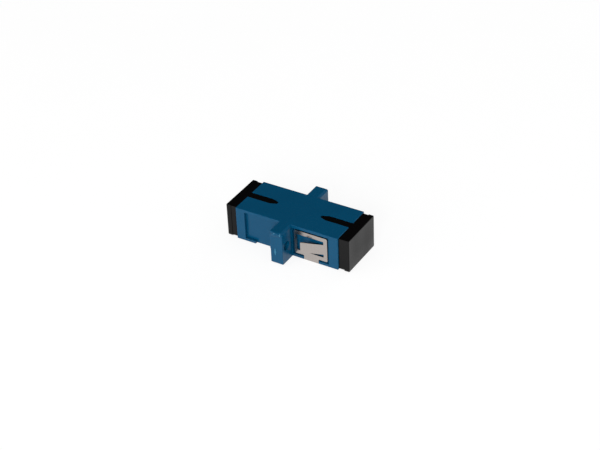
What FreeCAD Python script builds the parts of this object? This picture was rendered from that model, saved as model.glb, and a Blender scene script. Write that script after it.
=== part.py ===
import FreeCAD, Part
import os
import Sketcher

# SC to SC fibre optic adapter for a panel cut-out.
#
# Two moulded half shells are welded together at the middle of the flange, X = 0.
# Between them they trap two latch carriers, and the carriers' tubes hold a split
# ceramic sleeve. A folded spring steel clip sits in the side pockets of the front
# half, and a dust cap plugs each port.
#
# The origin is the centre of the split sleeve. +X runs along the optical axis to
# the front port, the flange's ears point along Y, and the key slots are on top, +Z.

doc = FreeCAD.newDocument("fibre_adapter")

# ---------------------------------------------------------------- dimensions, mm

DIMENSIONS = [
    # half shells
    ("port_width", 9.0),
    ("port_height", 7.4),
    ("side_wall", 2.0),
    ("top_wall", 0.8),
    ("half_length", 14.2),
    ("body_edge_round", 0.15),
    ("end_chamfer", 0.12),
    ("port_chamfer", 0.25),
    # flange
    ("screw_pitch", 18.0),
    ("screw_hole", 2.4),
    ("ear_margin", 2.0),
    ("flange_thickness", 3.3),
    ("flange_corner", 0.3),
    ("flange_edge_round", 0.1),
    ("flange_bevel", 0.45),
    ("seam_chamfer", 0.02),
    ("pin_offset", 0.85),
    ("pin_edge", 1.2),
    ("pin_diameter", 1.0),
    ("pin_height", 0.8),
    ("pin_lead_in", 0.15),
    ("pin_clearance", 0.05),
    # key slot in the top wall
    ("key_slot_width", 2.15),
    ("key_slot_length", 8.15),
    ("key_slot_taper", 1.7),
    ("key_slot_nose", 0.9),
    ("key_slot_round", 0.3),
    # clip pockets in the sides
    ("pocket_gap", 0.15),
    ("pocket_length", 9.9),
    ("pocket_rail", 0.75),
    ("pocket_depth", 0.75),
    ("notch_offset", 2.9),
    ("notch_width", 4.2),
    # latch carriers
    ("carrier_side_lip", 0.85),
    ("carrier_top_lip", 0.25),
    ("carrier_thickness", 1.25),
    ("seat_clearance", 0.05),
    ("tube_outer", 4.9),
    ("tube_lip", 0.45),
    ("tube_lip_bore", 2.9),
    ("tube_lead_in", 0.2),
    ("arm_height", 3.0),
    ("arm_thickness", 0.7),
    ("arm_reach", 9.6),
    ("arm_side_gap", 0.05),
    ("arm_root_round", 0.4),
    ("hook_length", 1.3),
    ("hook_flat", 0.45),
    ("hook_depth", 0.75),
    ("hook_tip", 0.5),
    ("relief_depth", 0.45),
    ("relief_margin", 0.25),
    ("relief_run_out", 0.6),
    # split sleeve
    ("sleeve_bore", 2.5),
    ("sleeve_wall", 0.35),
    ("sleeve_length", 11.4),
    ("sleeve_slot", 0.5),
    ("sleeve_chamfer", 0.15),
    ("sleeve_clearance", 0.05),
    ("sleeve_end_play", 0.1),
    # panel clip
    ("clip_gauge", 0.3),
    ("clip_recess", 0.1),
    ("clip_end_margin", 0.45),
    ("clip_rail_margin", 0.45),
    ("clip_corner", 0.4),
    ("clip_inner_round", 0.25),
    ("clip_fold", 0.5),
    ("strap_margin", 0.1),
    ("window_bar", 1.05),
    ("window_lead_bar", 0.65),
    ("window_hinge_bar", 1.0),
    ("window_round", 0.2),
    ("tongue_width", 2.8),
    ("tongue_length", 5.65),
    ("tongue_angle", 17.5),
    ("tongue_root", 0.4),
    ("tongue_corner", 0.2),
    # dust caps
    ("rim_side_inset", 0.3),
    ("rim_top_inset", 0.02),
    ("rim_length", 1.3),
    ("rim_corner", 0.3),
    ("rim_round", 0.2),
    ("neck_step", 0.12),
    ("neck_length", 1.55),
    ("plug_clearance", 0.05),
    ("plug_wall", 0.9),
    ("plug_floor", 1.6),
    ("plug_lead_in", 0.3),
    ("plug_arm_gap", 0.3),
    ("key_rib_clearance", 0.1),
    ("key_rib_nose_gap", 0.12),
    ("key_rib_drop", 0.08),
    # how far the outline of a cut runs past the piece
    ("cut_margin", 1.0),
]

sheet = doc.addObject("Spreadsheet::Sheet", "sizes")
for row, (alias, value) in enumerate(DIMENSIONS, start=1):
    sheet.set(f"A{row}", alias)
    sheet.set(f"B{row}", str(value))
    sheet.setAlias(f"B{row}", alias)
doc.recompute()


# ------------------------------------------------------------------ small helpers

def origin_plane(body, role):
    """The body's own XY, XZ or YZ plane."""
    for feature in body.Origin.OriginFeatures:
        if feature.Role == role:
            return feature
    raise ValueError(role)


def new_body(name):
    body = doc.addObject("PartDesign::Body", name)
    body.Label = name
    return body


def new_sketch(body, name, role, offset="0"):
    """A sketch on an origin plane of the body, moved along the plane's normal."""
    sketch = body.newObject("Sketcher::SketchObject", name)
    sketch.AttachmentSupport = [(origin_plane(body, role), "")]
    sketch.MapMode = "FlatFace"
    sketch.setExpression("AttachmentOffset.Base.z", offset)
    return sketch


def place_vertex(sketch, curve, vertex, across, upward):
    """Hold a vertex of a curve at two distances from the sketch's origin."""
    for kind, distance in (("DistanceX", across), ("DistanceY", upward)):
        constraint = Sketcher.Constraint(kind, -1, 1, curve, vertex, 1.0)
        index = sketch.addConstraint(constraint)
        sketch.setExpression(f"Constraints[{index}]", distance)


def polygon(body, name, role, vertices, offset="0"):
    """A closed outline through vertices that are given as expressions."""
    sketch = new_sketch(body, name, role, offset)
    count = len(vertices)
    start = FreeCAD.Vector(1, 0, 0)
    turn = FreeCAD.Rotation(FreeCAD.Vector(0, 0, 1), 360 / count)
    for _ in range(count):
        end = turn.multVec(start)
        sketch.addGeometry(Part.LineSegment(start, end))
        start = end
    for side in range(count):
        sketch.addConstraint(Sketcher.Constraint("Coincident", side, 2, (side + 1) % count, 1))
    for side, (across, upward) in enumerate(vertices):
        place_vertex(sketch, side, 1, across, upward)
    return sketch


def rectangle(body, name, role, width, height, offset="0"):
    """A rectangle centred on the sketch's origin."""
    left, right = f"-({width}) / 2", f"({width}) / 2"
    low, high = f"-({height}) / 2", f"({height}) / 2"
    corners = [(left, low), (right, low), (right, high), (left, high)]
    return polygon(body, name, role, corners, offset)


def circles(body, name, role, diameter, centres, offset="0"):
    """Equal circles about centres that are given as expressions."""
    sketch = new_sketch(body, name, role, offset)
    for across, upward in centres:
        ring = sketch.addGeometry(Part.Circle(FreeCAD.Vector(1, 1, 0), FreeCAD.Vector(0, 0, 1), 1))
        size = sketch.addConstraint(Sketcher.Constraint("Diameter", ring, 1.0))
        sketch.setExpression(f"Constraints[{size}]", diameter)
        place_vertex(sketch, ring, 3, across, upward)
    return sketch


def pad(body, name, sketch, length, reverse=False, both_ways=False):
    feature = body.newObject("PartDesign::Pad", name)
    feature.Profile = sketch
    feature.Reversed = reverse
    feature.Midplane = both_ways
    feature.setExpression("Length", length)
    doc.recompute()
    return feature


def pocket(body, name, sketch, depth, reverse=False, both_ways=False):
    """Cut a sketch's outline into the body, and make sure that it did cut."""
    before = body.Shape.Volume
    feature = body.newObject("PartDesign::Pocket", name)
    feature.Profile = sketch
    feature.Reversed = reverse
    feature.Midplane = both_ways
    feature.setExpression("Length", depth)
    doc.recompute()
    if not feature.Shape.Volume < before:
        raise ValueError(f"{name} cuts nothing")
    return feature


def mirrored(body, name, features, role):
    """Repeat features on the other side of an origin plane."""
    feature = body.newObject("PartDesign::Mirrored", name)
    feature.Originals = features
    feature.MirrorPlane = (origin_plane(body, role), [""])
    body.Tip = feature
    doc.recompute()
    return feature


def value(expression):
    """What an expression comes to, for picking edges by where they lie."""
    return float(sheet.evalExpression(expression))


NEAR = 0.01


def near(a, b):
    return abs(a - b) < NEAR


def edges_where(feature, test):
    """Names of the feature's edges whose two ends pass the test."""
    names = []
    for index, edge in enumerate(feature.Shape.Edges, start=1):
        if len(edge.Vertexes) == 2 and all(test(end.Point) for end in edge.Vertexes):
            names.append(f"Edge{index}")
    return names


def runs_along(edge_ends, axis):
    first, last = edge_ends
    others = [i for i in range(3) if i != axis]
    return all(near(first[i], last[i]) for i in others) and not near(first[axis], last[axis])


def edges_along(feature, axis, test):
    """Names of the straight edges along one axis whose ends pass the test."""
    names = []
    for index, edge in enumerate(feature.Shape.Edges, start=1):
        ends = [vertex.Point for vertex in edge.Vertexes]
        if len(ends) == 2 and runs_along(ends, axis) and all(test(end) for end in ends):
            names.append(f"Edge{index}")
    return names


def rings_where(feature, diameter, test):
    """Names of the circular edges of one diameter whose centres pass the test."""
    names = []
    for index, edge in enumerate(feature.Shape.Edges, start=1):
        curve = edge.Curve
        if hasattr(curve, "Radius") and near(2 * curve.Radius, diameter) and test(curve.Center):
            names.append(f"Edge{index}")
    return names


def dress(body, kind, name, base, edges, size):
    """A PartDesign Fillet or Chamfer on named edges of the last feature."""
    if not edges:
        raise ValueError(f"{name} has no edges")
    feature = body.newObject(f"PartDesign::{kind}", name)
    feature.Base = (base, edges)
    feature.setExpression("Radius" if kind == "Fillet" else "Size", size)
    body.Tip = feature
    doc.recompute()
    return feature


def turned_about_z():
    """Half a turn about Z, which puts a front piece on the rear side."""
    return FreeCAD.Placement(FreeCAD.Vector(0, 0, 0), FreeCAD.Rotation(FreeCAD.Vector(0, 0, 1), 180))


# ------------------------------------------------------- places shared by pieces

FLANGE_FACE = "sizes.flange_thickness / 2"
FLANGE_SPAN = "(sizes.screw_pitch + 2 * sizes.ear_margin)"
BODY_WIDTH = "(sizes.port_width + 2 * sizes.side_wall)"
BODY_HEIGHT = "(sizes.port_height + 2 * sizes.top_wall)"
BODY_SIDE = f"({BODY_WIDTH} / 2)"
BODY_TOP = f"({BODY_HEIGHT} / 2)"
CARRIER_WIDTH = "(sizes.port_width + 2 * sizes.carrier_side_lip)"
CARRIER_HEIGHT = "(sizes.port_height + 2 * sizes.carrier_top_lip)"
SEAT_WIDTH = f"({CARRIER_WIDTH} + 2 * sizes.seat_clearance)"
SEAT_HEIGHT = f"({CARRIER_HEIGHT} + 2 * sizes.seat_clearance)"
KEY_SLOT_START = "(sizes.half_length - sizes.key_slot_length)"
POCKET_START = f"({FLANGE_FACE} + sizes.pocket_gap)"
POCKET_END = f"({POCKET_START} + sizes.pocket_length)"
POCKET_TOP = f"({BODY_TOP} - sizes.pocket_rail)"
NOTCH_START = f"({POCKET_START} + sizes.notch_offset)"
NOTCH_END = f"({NOTCH_START} + sizes.notch_width)"
SLEEVE_OUTER = "(sizes.sleeve_bore + 2 * sizes.sleeve_wall)"
SLEEVE_SEAT_END = "(sizes.sleeve_length + sizes.sleeve_end_play) / 2"
CLIP_START = f"({POCKET_START} + sizes.clip_end_margin)"
CLIP_END = f"({POCKET_END} - sizes.clip_end_margin)"
CLIP_TOP = f"({POCKET_TOP} - sizes.clip_rail_margin)"
PLUG_START = f"({KEY_SLOT_START} + sizes.key_rib_nose_gap)"
PLUG_WIDTH = "(sizes.port_width - 2 * sizes.plug_clearance)"
PLUG_HEIGHT = "(sizes.port_height - 2 * sizes.plug_clearance)"
RIM_WIDTH = f"({BODY_WIDTH} - 2 * sizes.rim_side_inset)"
RIM_HEIGHT = f"({BODY_HEIGHT} - 2 * sizes.rim_top_inset)"


# ------------------------------------------------------------------- half shells

# Along the top of the flange the front half is bevelled and the rear half is plain.
PLAIN_EDGE = [(FLANGE_FACE, BODY_TOP)]
BEVELLED_EDGE = [
    (FLANGE_FACE, f"{BODY_TOP} - sizes.flange_bevel"),
    (f"{FLANGE_FACE} - sizes.flange_bevel", BODY_TOP),
]


def housing_half(name, top_edge):
    """One moulded half shell with its half of the flange, open at both ends."""
    body = new_body(name)
    half_span = value(f"{FLANGE_SPAN} / 2")
    side = value(BODY_SIDE)
    top = value(BODY_TOP)
    end = value("sizes.half_length")

    # Half of the flange, with corners and an outer rim that are only just rounded.
    outline = polygon(
        body,
        "flange_outline",
        "XZ_Plane",
        [("0", f"-{BODY_TOP}"), (FLANGE_FACE, f"-{BODY_TOP}"), *top_edge, ("0", BODY_TOP)],
    )
    flange = pad(body, "flange", outline, FLANGE_SPAN, both_ways=True)
    corners = edges_along(flange, 0, lambda p: near(abs(p.y), half_span))
    rounded = dress(body, "Fillet", "flange_corners", flange, corners, "sizes.flange_corner")
    face = value(FLANGE_FACE)
    rim = edges_where(rounded, lambda p: near(p.x, face))
    dress(body, "Fillet", "flange_rim", rounded, rim, "sizes.flange_edge_round")

    # The body's tube, chamfered at its mouth and softened along its edges.
    outline = rectangle(body, "body_outline", "YZ_Plane", BODY_WIDTH, BODY_HEIGHT)
    tube = pad(body, "tube", outline, "sizes.half_length")
    mouth = edges_where(tube, lambda p: near(p.x, end))
    tube = dress(body, "Chamfer", "mouth_chamfer", tube, mouth, "sizes.end_chamfer")
    long_edges = edges_along(tube, 0, lambda p: near(abs(p.y), side) and near(abs(p.z), top))
    tube = dress(body, "Fillet", "long_edges", tube, long_edges, "sizes.body_edge_round")
    seam = edges_where(
        tube, lambda p: near(p.x, 0) and (near(abs(p.z), top) or near(abs(p.y), half_span))
    )
    dress(body, "Chamfer", "seam_chamfer", tube, seam, "sizes.seam_chamfer")

    # Seat for the latch carrier's plate, then the port with room for the latch arms.
    outline = rectangle(body, "seat_outline", "YZ_Plane", SEAT_WIDTH, SEAT_HEIGHT)
    pocket(body, "carrier_seat", outline, "sizes.carrier_thickness", reverse=True)
    outline = rectangle(
        body, "port_outline", "YZ_Plane", "sizes.port_width", "sizes.port_height",
        "sizes.carrier_thickness",
    )
    pocket(body, "port", outline, "sizes.half_length", reverse=True)
    outline = rectangle(
        body,
        "relief_outline",
        "YZ_Plane",
        "sizes.port_width + 2 * sizes.relief_depth",
        "sizes.arm_height + 2 * sizes.relief_margin",
        "sizes.carrier_thickness",
    )
    reach = "sizes.arm_reach + sizes.relief_run_out - sizes.carrier_thickness"
    pocket(body, "arm_relief", outline, reach, reverse=True)

    # Key slot in the top wall, open at the mouth and tapered to a blunt, rounded nose.
    nose, flank = "sizes.key_slot_nose / 2", "sizes.key_slot_width / 2"
    shoulder = f"{KEY_SLOT_START} + sizes.key_slot_taper"
    past_end = "sizes.half_length + sizes.cut_margin"
    outline = polygon(
        body,
        "key_slot_outline",
        "XY_Plane",
        [
            (KEY_SLOT_START, f"-{nose}"),
            (shoulder, f"-{flank}"),
            (past_end, f"-{flank}"),
            (past_end, flank),
            (shoulder, flank),
            (KEY_SLOT_START, nose),
        ],
    )
    slot = pocket(body, "key_slot", outline, BODY_HEIGHT, reverse=True)
    slot_start = value(KEY_SLOT_START)
    corners = edges_along(slot, 2, lambda p: near(p.x, slot_start))
    slot = dress(body, "Fillet", "key_slot_nose", slot, corners, "sizes.key_slot_round")
    port_side = value("sizes.port_width / 2")
    port_top = value("sizes.port_height / 2")
    lip = edges_where(
        slot,
        lambda p: near(p.x, end) and abs(p.y) < port_side + NEAR and abs(p.z) < port_top + NEAR,
    )
    dress(body, "Chamfer", "port_chamfer", slot, lip, "sizes.port_chamfer")

    # A pocket for the clip's plate on each side, notched down to the bottom face.
    outline = polygon(
        body,
        "pocket_outline",
        "XZ_Plane",
        [
            (POCKET_START, POCKET_TOP),
            (POCKET_START, f"-{POCKET_TOP}"),
            (NOTCH_START, f"-{POCKET_TOP}"),
            (NOTCH_START, f"-{BODY_HEIGHT}"),
            (NOTCH_END, f"-{BODY_HEIGHT}"),
            (NOTCH_END, f"-{POCKET_TOP}"),
            (POCKET_END, f"-{POCKET_TOP}"),
            (POCKET_END, POCKET_TOP),
        ],
        f"{BODY_SIDE} - sizes.pocket_depth",
    )
    side_pocket = pocket(body, "side_pocket", outline, BODY_WIDTH, reverse=True)
    mirrored(body, "side_pockets", [side_pocket], "XZ_Plane")

    # Screw holes, and the pins and sockets that line up the two halves.
    ears = [("-sizes.screw_pitch / 2", "0"), ("sizes.screw_pitch / 2", "0")]
    holes = circles(body, "screw_circles", "YZ_Plane", "sizes.screw_hole", ears)
    pocket(body, "screw_holes", holes, "sizes.flange_thickness", reverse=True)
    across = f"({SEAT_WIDTH} / 2 + sizes.pin_offset)"
    up = f"({BODY_TOP} - sizes.pin_edge)"
    socket_size = "sizes.pin_diameter + 2 * sizes.pin_clearance"
    places = [(f"-{across}", up), (f"-{across}", f"-{up}")]
    sockets = circles(body, "socket_circles", "YZ_Plane", socket_size, places)
    socket_depth = "sizes.pin_height + 2 * sizes.pin_clearance"
    pocket(body, "pin_sockets", sockets, socket_depth, reverse=True)
    places = [(across, up), (across, f"-{up}")]
    outline = circles(body, "pin_circles", "YZ_Plane", "sizes.pin_diameter", places)
    pins = pad(body, "pins", outline, "sizes.pin_height", reverse=True)
    pin_end = value("-sizes.pin_height")
    tips = rings_where(pins, value("sizes.pin_diameter"), lambda c: near(c.x, pin_end))
    dress(body, "Chamfer", "pin_tips", pins, tips, "sizes.pin_lead_in")
    return body


# --------------------------------------------------------------- latch carriers

def latch_carrier(name):
    """Plate, half of the sleeve's tube and two hooked latch arms in one moulding."""
    body = new_body(name)
    outline = rectangle(body, "plate_outline", "YZ_Plane", CARRIER_WIDTH, CARRIER_HEIGHT)
    pad(body, "plate", outline, "sizes.carrier_thickness")

    # One arm in plan, with its hook turned in towards the axis.
    outer = "(sizes.port_width / 2 - sizes.arm_side_gap)"
    inner = f"({outer} - sizes.arm_thickness)"
    tip = f"({inner} - sizes.hook_depth)"
    hook = "(sizes.arm_reach - sizes.hook_length)"
    outline = polygon(
        body,
        "arm_outline",
        "XY_Plane",
        [
            ("0", outer),
            ("0", inner),
            (hook, inner),
            (hook, tip),
            (f"{hook} + sizes.hook_flat", tip),
            ("sizes.arm_reach", f"{outer} - sizes.hook_tip"),
            ("sizes.arm_reach", outer),
        ],
    )
    arm = pad(body, "arm", outline, "sizes.arm_height", both_ways=True)
    arms = mirrored(body, "arms", [arm], "XZ_Plane")
    plate_face = value("sizes.carrier_thickness")
    inner_face = value(inner)
    roots = edges_along(arms, 2, lambda p: near(p.x, plate_face) and near(abs(p.y), inner_face))
    dress(body, "Fillet", "arm_roots", arms, roots, "sizes.arm_root_round")

    # The tube, bored for the split sleeve up to a lip that keeps the sleeve in.
    centre = [("0", "0")]
    outline = circles(body, "tube_circle", "YZ_Plane", "sizes.tube_outer", centre)
    tube_end = f"{SLEEVE_SEAT_END} + sizes.tube_lip"
    pad(body, "tube", outline, tube_end)
    seat_size = f"{SLEEVE_OUTER} + 2 * sizes.sleeve_clearance"
    outline = circles(body, "sleeve_seat_circle", "YZ_Plane", seat_size, centre)
    pocket(body, "sleeve_seat", outline, SLEEVE_SEAT_END, reverse=True)
    outline = circles(body, "lip_circle", "YZ_Plane", "sizes.tube_lip_bore", centre)
    bore = pocket(body, "lip_bore", outline, "sizes.sleeve_length", reverse=True)
    end = value(tube_end)
    mouth = rings_where(bore, value("sizes.tube_lip_bore"), lambda c: near(c.x, end))
    dress(body, "Chamfer", "tube_mouth", bore, mouth, "sizes.tube_lead_in")
    return body


# ----------------------------------------------------------------- split sleeve

def alignment_sleeve(name):
    """Ceramic tube, ground true inside and slit along its length."""
    body = new_body(name)
    centre = [("0", "0")]
    outline = circles(body, "outer_circle", "YZ_Plane", SLEEVE_OUTER, centre)
    pad(body, "wall", outline, "sizes.sleeve_length", both_ways=True)
    outline = circles(body, "bore_circle", "YZ_Plane", "sizes.sleeve_bore", centre)
    bore = pocket(body, "bore", outline, "sizes.sleeve_length", both_ways=True)
    end = value("sizes.sleeve_length / 2")
    mouths = rings_where(bore, value("sizes.sleeve_bore"), lambda c: near(abs(c.x), end))
    dress(body, "Chamfer", "mouths", bore, mouths, "sizes.sleeve_chamfer")
    slit_length = "sizes.sleeve_length + 2 * sizes.cut_margin"
    outline = rectangle(body, "slit_outline", "XY_Plane", slit_length, "sizes.sleeve_slot")
    pocket(body, "slit", outline, "sizes.sleeve_bore + sizes.sleeve_wall", reverse=True)
    return body


# ------------------------------------------------------------------- panel clip

def panel_clip(name):
    """Spring steel strip folded under the front half, with a tongue on each side."""
    body = new_body(name)
    outer = f"({BODY_SIDE} - sizes.clip_recess)"
    inner = f"({outer} - sizes.clip_gauge)"
    lowest = f"({BODY_TOP} + sizes.clip_gauge)"
    outline = polygon(
        body,
        "strip_section",
        "YZ_Plane",
        [
            (f"-{outer}", CLIP_TOP),
            (f"-{outer}", f"-{lowest}"),
            (outer, f"-{lowest}"),
            (outer, CLIP_TOP),
            (inner, CLIP_TOP),
            (inner, f"-{BODY_TOP}"),
            (f"-{inner}", f"-{BODY_TOP}"),
            (f"-{inner}", CLIP_TOP),
        ],
        CLIP_START,
    )
    strip = pad(body, "strip", outline, f"{CLIP_END} - {CLIP_START}")
    under, bottom = value(f"-{BODY_TOP}"), value(f"-{lowest}")
    inside = edges_along(strip, 0, lambda p: near(p.z, under))
    fold = dress(body, "Fillet", "fold_inside", strip, inside, "sizes.clip_fold - sizes.clip_gauge")
    outside = edges_along(fold, 0, lambda p: near(p.z, bottom))
    dress(body, "Fillet", "fold_outside", fold, outside, "sizes.clip_fold")

    # Below the two plates only the strap is left, between the notches of the rails.
    strap_start = f"{NOTCH_START} + sizes.strap_margin"
    strap_end = f"{NOTCH_END} - sizes.strap_margin"
    for label, near_side, far_side in (
        ("lead", f"{CLIP_START} - sizes.cut_margin", strap_start),
        ("tail", strap_end, f"{CLIP_END} + sizes.cut_margin"),
    ):
        outline = polygon(
            body,
            f"{label}_trim_outline",
            "XZ_Plane",
            [
                (near_side, f"-{CLIP_TOP}"),
                (near_side, f"-{BODY_HEIGHT}"),
                (far_side, f"-{BODY_HEIGHT}"),
                (far_side, f"-{CLIP_TOP}"),
            ],
        )
        pocket(body, f"{label}_trim", outline, FLANGE_SPAN, both_ways=True)

    # The window in each plate, with every corner of the blank rounded.
    window_start = f"{CLIP_START} + sizes.window_lead_bar"
    hinge = f"({CLIP_END} - sizes.window_hinge_bar)"
    sill = f"({CLIP_TOP} - sizes.window_bar)"
    outline = polygon(
        body,
        "window_outline",
        "XZ_Plane",
        [(window_start, sill), (window_start, f"-{sill}"), (hinge, f"-{sill}"), (hinge, sill)],
    )
    blank = pocket(body, "windows", outline, FLANGE_SPAN, both_ways=True)
    ends = (value(CLIP_START), value(CLIP_END))
    straps = (value(strap_start), value(strap_end))
    sides = (value(window_start), value(hinge))
    for label, places, height, size in (
        ("plate_corners", ends, value(CLIP_TOP), "sizes.clip_corner"),
        ("strap_corners", straps, value(CLIP_TOP), "sizes.clip_inner_round"),
        ("window_corners", sides, value(sill), "sizes.window_round"),
    ):
        corners = edges_along(
            blank,
            1,
            lambda p: near(abs(p.z), height) and any(near(p.x, place) for place in places),
        )
        blank = dress(body, "Fillet", label, blank, corners, size)

    # The tongue that is bent out of the window, on both sides.
    angle = "sizes.tongue_angle * 1 deg"
    tip_x = f"{hinge} - sizes.tongue_length * cos({angle})"
    tip_y = f"{outer} + sizes.tongue_length * sin({angle})"
    outline = polygon(
        body,
        "tongue_outline",
        "XY_Plane",
        [
            (f"{hinge} + sizes.tongue_root", f"-{outer}"),
            (hinge, f"-{outer}"),
            (tip_x, f"-({tip_y})"),
            (
                f"{tip_x} - sizes.clip_gauge * sin({angle})",
                f"-({tip_y}) + sizes.clip_gauge * cos({angle})",
            ),
            (f"{hinge} - sizes.clip_gauge * tan({angle} / 2)", f"-{inner}"),
            (f"{hinge} + sizes.tongue_root", f"-{inner}"),
        ],
    )
    tongue = pad(body, "tongue", outline, "sizes.tongue_width", both_ways=True)
    tongues = mirrored(body, "tongues", [tongue], "XZ_Plane")
    tip_end = value(f"{tip_x} + sizes.clip_gauge")
    tips = []
    for half_width in (value("sizes.tongue_width / 2"), value("-sizes.tongue_width / 2")):
        tips += edges_where(tongues, lambda p: near(p.z, half_width) and ends[0] < p.x < tip_end)
    dress(body, "Fillet", "tongue_corners", tongues, tips, "sizes.tongue_corner")
    return body


# -------------------------------------------------------------------- dust caps

def dust_cap(name):
    """Moulded cap: rim to pull on, neck, and a hollow plug with a key rib."""
    body = new_body(name)
    outline = rectangle(body, "plug_outline", "YZ_Plane", PLUG_WIDTH, PLUG_HEIGHT, PLUG_START)
    plug_length = f"(sizes.half_length - {PLUG_START})"
    plug = pad(body, "plug", outline, plug_length)
    plug_end = value(PLUG_START)
    lead_in = edges_where(plug, lambda p: near(p.x, plug_end))
    dress(body, "Chamfer", "lead_in", plug, lead_in, "sizes.plug_lead_in")

    # The rib fills the key slot to just under the shell's top.
    nose = "(sizes.key_slot_nose / 2 - sizes.key_rib_clearance)"
    flank = "(sizes.key_slot_width / 2 - sizes.key_rib_clearance)"
    shoulder = f"{PLUG_START} + sizes.key_slot_taper"
    core_top = f"({PLUG_HEIGHT} / 2 - sizes.plug_wall)"
    outline = polygon(
        body,
        "key_rib_outline",
        "XY_Plane",
        [
            (PLUG_START, f"-{nose}"),
            (shoulder, f"-{flank}"),
            ("sizes.half_length", f"-{flank}"),
            ("sizes.half_length", flank),
            (shoulder, flank),
            (PLUG_START, nose),
        ],
        core_top,
    )
    pad(body, "key_rib", outline, f"{BODY_TOP} - sizes.key_rib_drop - {core_top}")

    # Neck against the shell's end, then the wider rim.
    neck_width = f"({RIM_WIDTH} - 2 * sizes.neck_step)"
    neck_height = f"({RIM_HEIGHT} - 2 * sizes.neck_step)"
    outline = rectangle(
        body, "neck_outline", "YZ_Plane", neck_width, neck_height, "sizes.half_length"
    )
    neck = pad(body, "neck", outline, "sizes.neck_length")
    neck_side = value(f"{neck_width} / 2")
    corners = edges_along(neck, 0, lambda p: near(abs(p.y), neck_side))
    dress(body, "Fillet", "neck_corners", neck, corners, "sizes.rim_corner")
    rim_start = "(sizes.half_length + sizes.neck_length)"
    outline = rectangle(body, "rim_outline", "YZ_Plane", RIM_WIDTH, RIM_HEIGHT, rim_start)
    rim = pad(body, "rim", outline, "sizes.rim_length")
    rim_side = value(f"{RIM_WIDTH} / 2")
    corners = edges_along(rim, 0, lambda p: near(abs(p.y), rim_side))
    rim = dress(body, "Fillet", "rim_corners", rim, corners, "sizes.rim_corner")
    end = value(f"{rim_start} + sizes.rim_length")
    edge = edges_where(rim, lambda p: near(p.x, end))
    dress(body, "Fillet", "rim_edge", rim, edge, "sizes.rim_round")

    # Cored out from the plug's end, and slotted where the latch arms stand.
    core_width = f"{PLUG_WIDTH} - 2 * sizes.plug_wall"
    outline = rectangle(body, "core_outline", "YZ_Plane", core_width, f"2 * {core_top}", PLUG_START)
    head = "sizes.neck_length + sizes.rim_length - sizes.plug_floor"
    pocket(body, "core", outline, f"{plug_length} + {head}", reverse=True)
    slot_end = "sizes.arm_reach + sizes.plug_arm_gap"
    slot_side = "(sizes.arm_height / 2 + sizes.plug_arm_gap)"
    before = f"{PLUG_START} - sizes.cut_margin"
    outline = polygon(
        body,
        "arm_slot_outline",
        "XZ_Plane",
        [
            (before, f"-{slot_side}"),
            (slot_end, f"-{slot_side}"),
            (slot_end, slot_side),
            (before, slot_side),
        ],
    )
    pocket(body, "arm_slots", outline, BODY_WIDTH, both_ways=True)
    return body


# ---------------------------------------------------------------- the assembly

pieces = [
    housing_half("housing_front", BEVELLED_EDGE),
    housing_half("housing_rear", PLAIN_EDGE),
    latch_carrier("latch_carrier_front"),
    latch_carrier("latch_carrier_rear"),
    alignment_sleeve("alignment_sleeve"),
    panel_clip("panel_clip"),
    dust_cap("dust_cap_front"),
    dust_cap("dust_cap_rear"),
]
for piece in pieces:
    if piece.Label.endswith("_rear"):
        piece.Placement = turned_about_z()
doc.recompute()

for thing in doc.Objects:
    if "Invalid" in thing.State or "Error" in thing.State:
        raise ValueError(f"{thing.Label} failed: {thing.State}")
for piece in pieces:
    if piece.Shape.isNull() or not piece.Shape.isValid():
        raise ValueError(f"{piece.Label} has no valid shape")

os.makedirs("parts", exist_ok=True)
for piece in pieces:
    piece.Shape.exportStep(f"parts/{piece.Label}.step")
    box = piece.Shape.BoundBox
    print(
        f"{piece.Label}: {len(piece.Shape.Solids)} solid, {piece.Shape.Volume:.1f} mm3, "
        f"x {box.XMin:.2f} to {box.XMax:.2f}, y {box.YMin:.2f} to {box.YMax:.2f}, "
        f"z {box.ZMin:.2f} to {box.ZMax:.2f}"
    )
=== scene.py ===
import math

import bmesh
import bpy
from mathutils import Matrix, Vector, noise


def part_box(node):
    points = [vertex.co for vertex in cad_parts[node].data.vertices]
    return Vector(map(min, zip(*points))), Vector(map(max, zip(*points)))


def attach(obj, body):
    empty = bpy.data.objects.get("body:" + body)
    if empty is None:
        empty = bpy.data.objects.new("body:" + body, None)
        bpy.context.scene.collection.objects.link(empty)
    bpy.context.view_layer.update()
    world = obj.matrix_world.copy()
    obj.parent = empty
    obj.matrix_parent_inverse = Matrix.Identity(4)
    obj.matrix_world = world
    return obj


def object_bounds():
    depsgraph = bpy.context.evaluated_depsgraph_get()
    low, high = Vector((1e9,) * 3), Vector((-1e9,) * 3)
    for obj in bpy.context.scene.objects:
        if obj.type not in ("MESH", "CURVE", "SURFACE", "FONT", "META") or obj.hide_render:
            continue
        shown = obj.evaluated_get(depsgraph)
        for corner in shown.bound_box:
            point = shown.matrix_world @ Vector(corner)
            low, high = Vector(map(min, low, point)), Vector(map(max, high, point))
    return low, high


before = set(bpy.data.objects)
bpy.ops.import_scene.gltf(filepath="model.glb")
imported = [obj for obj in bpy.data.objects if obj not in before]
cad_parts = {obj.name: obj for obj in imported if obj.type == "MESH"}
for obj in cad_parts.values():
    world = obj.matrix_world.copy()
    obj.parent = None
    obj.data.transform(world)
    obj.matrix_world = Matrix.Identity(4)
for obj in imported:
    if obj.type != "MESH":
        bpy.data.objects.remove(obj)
cad_box = [list(corner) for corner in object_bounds()]


# ------------------------------------------------------------------------ camera
# A small product on a table, seen from the front right and from above, through a
# short telephoto lens. The lens points at the middle of the adapter.

CAMERA_AZIMUTH = 32.195
CAMERA_ELEVATION = 34.626
CAMERA_ROLL = -2.5
CAMERA_DISTANCE = 0.3573


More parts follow.
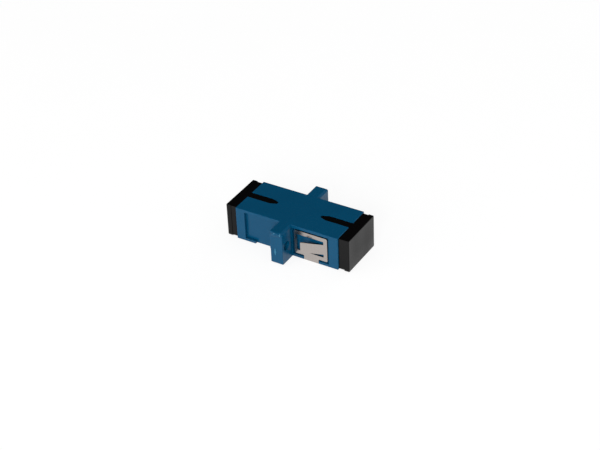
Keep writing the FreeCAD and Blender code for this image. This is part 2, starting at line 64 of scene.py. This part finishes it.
def facing_origin(azimuth, elevation):
    """The turn of a camera or lamp that looks at the origin from these angles, in degrees."""
    turn = Matrix.Rotation(math.radians(azimuth), 4, "Z")
    return turn @ Matrix.Rotation(math.radians(90 - elevation), 4, "X")


camera_data = bpy.data.cameras.new("camera")
camera_data.sensor_width = 36.0
camera_data.lens = 88.46
camera_data.shift_x = -0.0001
camera_data.shift_y = -0.0003
camera_data.clip_start = 0.01
camera_data.clip_end = 20.0
camera = bpy.data.objects.new("camera", camera_data)
bpy.context.scene.collection.objects.link(camera)
level_aim = facing_origin(CAMERA_AZIMUTH, CAMERA_ELEVATION)
aim = level_aim @ Matrix.Rotation(math.radians(CAMERA_ROLL), 4, "Z")
camera.matrix_world = aim @ Matrix.Translation((0, 0, CAMERA_DISTANCE))
bpy.context.scene.camera = camera


# ---------------------------------------------------------- table and studio light
# A white laminate table top under four soft boxes, at the front left, the front, the
# right and the back, all low, so that the upright faces get more light than the top.
# The room above the table is dim, and only the low horizon is bright.

def linear(code):
    """An sRGB hex colour as the linear values that a shader takes."""
    channels = [int(code[i:i + 2], 16) / 255 for i in (1, 3, 5)]
    return tuple(c / 12.92 if c <= 0.04045 else ((c + 0.055) / 1.055) ** 2.4 for c in channels) + (1.0,)


def add_node(tree, kind, inputs=None, links=None, **settings):
    """One shader node with its settings, its socket values and its incoming links."""
    node = tree.nodes.new(kind)
    for name, setting in settings.items():
        setattr(node, name, setting)
    for socket, number in (inputs or {}).items():
        node.inputs[socket].default_value = number
    for socket, source in (links or {}).items():
        tree.links.new(source, node.inputs[socket])
    return node


def empty_material(name):
    """A node material with nothing in it but its output."""
    material = bpy.data.materials.new(name)
    material.use_nodes = True
    material.node_tree.nodes.clear()
    output = material.node_tree.nodes.new("ShaderNodeOutputMaterial")
    return material, material.node_tree, output


TABLE_HALF = 3.0
TABLE_GAP = 0.00002
# The camera and mirrors see this share of plain white. The rest is the lit laminate,
# which carries the shadow and is darker, so the white is a little over 1 to make up.
WHITE_SHARE = 0.72
WHITE_STRENGTH = 1.19

white_laminate, tree, output = empty_material("white_laminate")
place = add_node(tree, "ShaderNodeTexCoord")
# Faint mottling of the laminate, in patches of about 25 mm.
mottling = add_node(
    tree, "ShaderNodeTexNoise", {"Scale": 40.0, "Detail": 2.0}, {"Vector": place.outputs["Object"]}
)
tint = add_node(
    tree,
    "ShaderNodeMixRGB",
    {"Color1": linear("#e6e6e6"), "Color2": linear("#ececec")},
    {"Fac": mottling.outputs["Fac"]},
)
matt = add_node(tree, "ShaderNodeBsdfDiffuse", links={"Color": tint.outputs["Color"]})
seen_white = add_node(
    tree, "ShaderNodeEmission", {"Color": (1.0, 1.0, 1.0, 1.0), "Strength": WHITE_STRENGTH}
)
white_with_shadow = add_node(
    tree, "ShaderNodeMixShader", {"Fac": WHITE_SHARE}, {1: matt.outputs[0], 2: seen_white.outputs[0]}
)
path = add_node(tree, "ShaderNodeLightPath")
camera_or_gloss = add_node(
    tree,
    "ShaderNodeMath",
    links={0: path.outputs["Is Camera Ray"], 1: path.outputs["Is Glossy Ray"]},
    operation="ADD",
)
seen = add_node(
    tree,
    "ShaderNodeMath",
    links={0: camera_or_gloss.outputs[0], 1: path.outputs["Is Transmission Ray"]},
    operation="ADD",
    use_clamp=True,
)
look = add_node(
    tree,
    "ShaderNodeMixShader",
    links={"Fac": seen.outputs[0], 1: matt.outputs[0], 2: white_with_shadow.outputs[0]},
)
tree.links.new(look.outputs[0], output.inputs["Surface"])

table_bm = bmesh.new()
bmesh.ops.create_grid(table_bm, x_segments=1, y_segments=1, size=TABLE_HALF)
bmesh.ops.translate(table_bm, verts=table_bm.verts, vec=(0, 0, cad_box[0][2] - TABLE_GAP))
table_mesh = bpy.data.meshes.new("table")
table_bm.to_mesh(table_mesh)
table_bm.free()
table = bpy.data.objects.new("table", table_mesh)
table_mesh.materials.append(white_laminate)
bpy.context.scene.collection.objects.link(table)

LAMP_DISTANCE = 0.8

# Azimuth and elevation in degrees, width and height in metres, and power in watts.
for name, azimuth, elevation, width, height, power in (
    ("soft_box_left", -32, 15, 0.8, 0.5, 2.1),
    ("soft_box_front", 22, 24, 0.35, 0.35, 2.7),
    ("soft_box_right", 82, 15, 0.8, 0.5, 1.2),
    ("soft_box_back", 168, 12, 0.5, 0.4, 1.4),
):
    lamp_data = bpy.data.lights.new(name, "AREA")
    lamp_data.shape = "RECTANGLE"
    lamp_data.size = width
    lamp_data.size_y = height
    lamp_data.energy = power
    lamp = bpy.data.objects.new(name, lamp_data)
    bpy.context.scene.collection.objects.link(lamp)
    lamp.matrix_world = facing_origin(azimuth, elevation) @ Matrix.Translation((0, 0, LAMP_DISTANCE))

# Angles above the horizon, in degrees.
GREY_UP_TO = 4
DIM_FROM = 14
HORIZON_GREY = 0.30
CEILING_GREY = 0.004
FILL_STRENGTH = 0.33

room = bpy.data.worlds.new("studio_room")
bpy.context.scene.world = room
room.use_nodes = True
tree = room.node_tree
tree.nodes.clear()
output = add_node(tree, "ShaderNodeOutputWorld")
way = add_node(tree, "ShaderNodeTexCoord")
height_of = add_node(tree, "ShaderNodeSeparateXYZ", links={"Vector": way.outputs["Generated"]})
# The ramp reads the sine of the angle above the horizon.
horizon = add_node(tree, "ShaderNodeValToRGB", links={"Fac": height_of.outputs["Z"]})
for stop, angle, grey in zip(
    horizon.color_ramp.elements, (GREY_UP_TO, DIM_FROM), (HORIZON_GREY, CEILING_GREY)
):
    stop.position = math.sin(math.radians(angle))
    stop.color = (grey, grey, grey, 1.0)
mirrored_room = add_node(tree, "ShaderNodeBackground", {"Strength": 1.0}, {"Color": horizon.outputs["Color"]})
soft_fill = add_node(
    tree, "ShaderNodeBackground", {"Color": (1.0, 1.0, 1.0, 1.0), "Strength": FILL_STRENGTH}
)
white_wall = add_node(tree, "ShaderNodeBackground", {"Color": (1.0, 1.0, 1.0, 1.0), "Strength": 1.0})
path = add_node(tree, "ShaderNodeLightPath")
for_gloss = add_node(
    tree,
    "ShaderNodeMixShader",
    links={"Fac": path.outputs["Is Glossy Ray"], 1: soft_fill.outputs[0], 2: mirrored_room.outputs[0]},
)
for_camera = add_node(
    tree,
    "ShaderNodeMixShader",
    links={"Fac": path.outputs["Is Camera Ray"], 1: for_gloss.outputs[0], 2: white_wall.outputs[0]},
)
tree.links.new(for_camera.outputs[0], output.inputs["Surface"])


# ------------------------------------------------------------------- half shells
# Two mouldings in blue PBT, alike but for the joint's pins and the front one's bevelled
# flange, welded together at the middle of the flange. The mould's faces are polished, so
# they are smooth and glossy, with a fine grain.

def per_mm(size):
    """The scale of a pattern whose parts are this many millimetres across."""
    return 1000.0 / size


def coat(names, material):
    """Gives each of these CAD nodes this one material."""
    for name in names:
        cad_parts[name].data.materials.clear()
        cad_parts[name].data.materials.append(material)


blue_pbt, tree, output = empty_material("moulded_blue_pbt")
place = add_node(tree, "ShaderNodeTexCoord")
# Slow clouds of colour, about 6 mm across, where the melt flowed together.
flow = add_node(
    tree,
    "ShaderNodeTexNoise",
    {"Scale": per_mm(6.0), "Detail": 2.0, "Distortion": 0.6},
    {"Vector": place.outputs["Object"]},
)
colour = add_node(
    tree,
    "ShaderNodeMixRGB",
    {"Color1": linear("#014d72"), "Color2": linear("#01547a")},
    {"Fac": flow.outputs["Fac"]},
)
# Polishing marks of the mould, in the gloss and in the surface. Real ones are finer
# than this 0.25 mm, at which they just show.
polish = add_node(
    tree,
    "ShaderNodeTexNoise",
    {"Scale": per_mm(0.25), "Detail": 3.0},
    {"Vector": place.outputs["Object"]},
)
gloss = add_node(
    tree,
    "ShaderNodeMapRange",
    {"To Min": 0.23, "To Max": 0.30},
    {"Value": polish.outputs["Fac"]},
)
grain = add_node(
    tree,
    "ShaderNodeBump",
    {"Strength": 0.04, "Distance": 0.00002},
    {"Height": polish.outputs["Fac"]},
)
shell = add_node(
    tree,
    "ShaderNodeBsdfPrincipled",
    {"IOR": 1.5, "Specular IOR Level": 0.2},
    {
        "Base Color": colour.outputs["Color"],
        "Roughness": gloss.outputs["Result"],
        "Normal": grain.outputs["Normal"],
    },
)
tree.links.new(shell.outputs[0], output.inputs["Surface"])

coat(("housing_front", "housing_rear"), blue_pbt)


# --------------------------------------------------------------- gates and flash
# Both halves were moulded through the end of one ear. Trimming the sprues left a low,
# lumpy ridge there with two torn stubs on it, and the weld squeezed out some flash.
# Torn plastic is rougher than the moulded faces. Its paleness is partly its own whitening and partly painted
# highlight for the glints on these lumps.

glint_painted_pbt, tree, output = empty_material("torn_blue_pbt_painted_glint")
place = add_node(tree, "ShaderNodeTexCoord")
# Torn fibres, about 0.12 mm apart.
fibres = add_node(
    tree, "ShaderNodeTexNoise", {"Scale": per_mm(0.12), "Detail": 3.0}, {"Vector": place.outputs["Object"]}
)
# These two pale blues are partly the torn plastic's own whitening and partly painted highlight, with glints
# drawn into the colour.
colour = add_node(
    tree,
    "ShaderNodeMixRGB",
    {"Color1": linear("#14678c"), "Color2": linear("#3a8aab")},
    {"Fac": fibres.outputs["Fac"]},
)
relief = add_node(
    tree, "ShaderNodeBump", {"Strength": 0.5, "Distance": 0.00003}, {"Height": fibres.outputs["Fac"]}
)
torn = add_node(
    tree,
    "ShaderNodeBsdfPrincipled",
    {"IOR": 1.5, "Roughness": 0.55},
    {"Base Color": colour.outputs["Color"], "Normal": relief.outputs["Normal"]},
)
tree.links.new(torn.outputs[0], output.inputs["Surface"])

MM = 0.001
LUMP_HEIGHT = 0.25
LUMP_PITCH = 0.4
ear_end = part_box("housing_rear")[0][1]

# Place along X and Z, half width, half height and how far each stands proud, in mm.
for number, (name, along, up, half_wide, half_tall, proud, plastic) in enumerate(
    (
        ("gate_ridge", -0.05, 3.84, 1.50, 0.60, 0.28, blue_pbt),
        # The stubs and the flash below wear the pale plastic, whose colour holds painted glints.
        ("gate_stub_rear", -0.34, 4.02, 0.28, 0.40, 0.27, glint_painted_pbt),
        ("gate_stub_front", 1.12, 4.00, 0.22, 0.34, 0.22, glint_painted_pbt),
        ("weld_flash", -0.38, -1.20, 0.20, 0.90, 0.05, glint_painted_pbt),
    )
):
    bead_bm = bmesh.new()
    bmesh.ops.create_icosphere(bead_bm, subdivisions=4, radius=1.0)
    for vert in bead_bm.verts:
        lump = noise.noise(vert.co / LUMP_PITCH + Vector((number, 0.0, 0.0)))
        vert.co *= 1.0 + LUMP_HEIGHT * lump
    bmesh.ops.scale(bead_bm, verts=bead_bm.verts, vec=(half_wide * MM, proud * MM, half_tall * MM))
    bmesh.ops.translate(bead_bm, verts=bead_bm.verts, vec=(along * MM, ear_end, up * MM))
    bead_mesh = bpy.data.meshes.new(name)
    bead_bm.to_mesh(bead_mesh)
    bead_bm.free()
    bead_mesh.shade_smooth()
    bead_mesh.materials.append(plastic)
    bead = bpy.data.objects.new(name, bead_mesh)
    bpy.context.scene.collection.objects.link(bead)
    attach(bead, "adapter")


# ---------------------------------------------------------------- latch carriers
# Natural, ivory coloured mouldings that are trapped between the two half shells.
# They are seen only with the caps pulled off: the sleeve's tube and two latch arms.

ivory_pbt, tree, output = empty_material("moulded_ivory_pbt")
place = add_node(tree, "ShaderNodeTexCoord")
flow = add_node(
    tree, "ShaderNodeTexNoise", {"Scale": per_mm(4.0), "Detail": 2.0}, {"Vector": place.outputs["Object"]}
)
colour = add_node(
    tree,
    "ShaderNodeMixRGB",
    {"Color1": linear("#d9d2bf"), "Color2": linear("#e3ddcd")},
    {"Fac": flow.outputs["Fac"]},
)
# Spark eroded mould faces leave a matt grain of about 0.15 mm.
spark = add_node(
    tree, "ShaderNodeTexNoise", {"Scale": per_mm(0.15), "Detail": 2.0}, {"Vector": place.outputs["Object"]}
)
gloss = add_node(
    tree, "ShaderNodeMapRange", {"To Min": 0.42, "To Max": 0.58}, {"Value": spark.outputs["Fac"]}
)
grain = add_node(
    tree, "ShaderNodeBump", {"Strength": 0.2, "Distance": 0.00002}, {"Height": spark.outputs["Fac"]}
)
body = add_node(
    tree,
    "ShaderNodeBsdfPrincipled",
    {"IOR": 1.5},
    {
        "Base Color": colour.outputs["Color"],
        "Roughness": gloss.outputs["Result"],
        "Normal": grain.outputs["Normal"],
    },
)
tree.links.new(body.outputs[0], output.inputs["Surface"])

coat(("latch_carrier_front", "latch_carrier_rear"), ivory_pbt)


# ------------------------------------------------------------------ split sleeve
# A zirconia tube, ground inside and out and slit along its length. It floats in the
# two carriers' tubes and springs open a little on the ferrules.

zirconia, tree, output = empty_material("ground_white_zirconia")
place = add_node(tree, "ShaderNodeTexCoord")
# Grinding goes round the tube, so the marks are thin rings along it. They are drawn
# about 0.1 mm apart, which is coarser than real ones.
rings = add_node(
    tree,
    "ShaderNodeTexWave",
    {"Scale": per_mm(0.3), "Distortion": 1.5, "Detail": 2.0},
    {"Vector": place.outputs["Object"]},
    bands_direction="X",
)
colour = add_node(
    tree,
    "ShaderNodeMixRGB",
    {"Color1": linear("#efefec"), "Color2": linear("#f6f6f4")},
    {"Fac": rings.outputs["Fac"]},
)
gloss = add_node(
    tree, "ShaderNodeMapRange", {"To Min": 0.12, "To Max": 0.22}, {"Value": rings.outputs["Fac"]}
)
ceramic = add_node(
    tree,
    "ShaderNodeBsdfPrincipled",
    {"IOR": 2.1},
    {"Base Color": colour.outputs["Color"], "Roughness": gloss.outputs["Result"]},
)
tree.links.new(ceramic.outputs[0], output.inputs["Surface"])

coat(("alignment_sleeve",), zirconia)


# -------------------------------------------------------------------- panel clip
# One strip of 0.3 mm stainless spring steel, blanked and folded round the front
# half. The rolled surface is bright, with faint rolling marks along the strip.

spring_steel, tree, output = empty_material("rolled_spring_steel")
place = add_node(tree, "ShaderNodeTexCoord")
# Rolling marks: streaks about 0.08 mm wide and 4 mm long, which run round the folds.
stretch = add_node(
    tree,
    "ShaderNodeMapping",
    {"Scale": (per_mm(0.08), per_mm(4.0), per_mm(4.0))},
    {"Vector": place.outputs["Object"]},
)
streaks = add_node(
    tree, "ShaderNodeTexNoise", {"Scale": 1.0, "Detail": 3.0}, {"Vector": stretch.outputs["Vector"]}
)
colour = add_node(
    tree,
    "ShaderNodeMixRGB",
    {"Color1": linear("#a9a19d"), "Color2": linear("#b5aea9")},
    {"Fac": streaks.outputs["Fac"]},
)
gloss = add_node(
    tree, "ShaderNodeMapRange", {"To Min": 0.16, "To Max": 0.28}, {"Value": streaks.outputs["Fac"]}
)
marks = add_node(
    tree, "ShaderNodeBump", {"Strength": 0.08, "Distance": 0.00001}, {"Height": streaks.outputs["Fac"]}
)
steel = add_node(
    tree,
    "ShaderNodeBsdfPrincipled",
    {"Metallic": 1.0},
    {
        "Base Color": colour.outputs["Color"],
        "Roughness": gloss.outputs["Result"],
        "Normal": marks.outputs["Normal"],
    },
)
tree.links.new(steel.outputs[0], output.inputs["Surface"])

coat(("panel_clip",), spring_steel)


# --------------------------------------------------------------------- dust caps
# Soft black polyethylene mouldings, pushed into the ports by hand. The mould is
# plain and lightly grained, so the faces have a soft, slightly uneven gloss.

black_pe, tree, output = empty_material("moulded_black_polyethylene")
place = add_node(tree, "ShaderNodeTexCoord")
cloud = add_node(
    tree, "ShaderNodeTexNoise", {"Scale": per_mm(5.0), "Detail": 2.0}, {"Vector": place.outputs["Object"]}
)
colour = add_node(
    tree,
    "ShaderNodeMixRGB",
    {"Color1": linear("#080808"), "Color2": linear("#0c0b0c")},
    {"Fac": cloud.outputs["Fac"]},
)
# The mould's grain is about 0.2 mm.
skin = add_node(
    tree, "ShaderNodeTexNoise", {"Scale": per_mm(0.2), "Detail": 3.0}, {"Vector": place.outputs["Object"]}
)
gloss = add_node(
    tree, "ShaderNodeMapRange", {"To Min": 0.16, "To Max": 0.26}, {"Value": skin.outputs["Fac"]}
)
# Sink marks, about 9 mm across, where the faces drew in as the rim cooled over the plug's
# walls. They are drawn deeper than real ones, so that they show, and W only picks one
# of the endless patterns.
sink = add_node(
    tree,
    "ShaderNodeTexNoise",
    {"Scale": per_mm(9.0), "Detail": 0.0, "W": 2.0},
    {"Vector": place.outputs["Object"]},
    noise_dimensions="4D",
)
dent = add_node(
    tree, "ShaderNodeBump", {"Strength": 1.0, "Distance": 0.0008}, {"Height": sink.outputs["Fac"]}
)
grain = add_node(
    tree,
    "ShaderNodeBump",
    {"Strength": 0.12, "Distance": 0.00002},
    {"Height": skin.outputs["Fac"], "Normal": dent.outputs["Normal"]},
)
soft = add_node(
    tree,
    "ShaderNodeBsdfPrincipled",
    {"IOR": 1.45, "Specular IOR Level": 0.21},
    {
        "Base Color": colour.outputs["Color"],
        "Roughness": gloss.outputs["Result"],
        "Normal": grain.outputs["Normal"],
    },
)
tree.links.new(soft.outputs[0], output.inputs["Surface"])

coat(("dust_cap_front", "dust_cap_rear"), black_pe)


# ------------------------------------------------------------------ view

bpy.context.scene.view_settings.view_transform = "Standard"
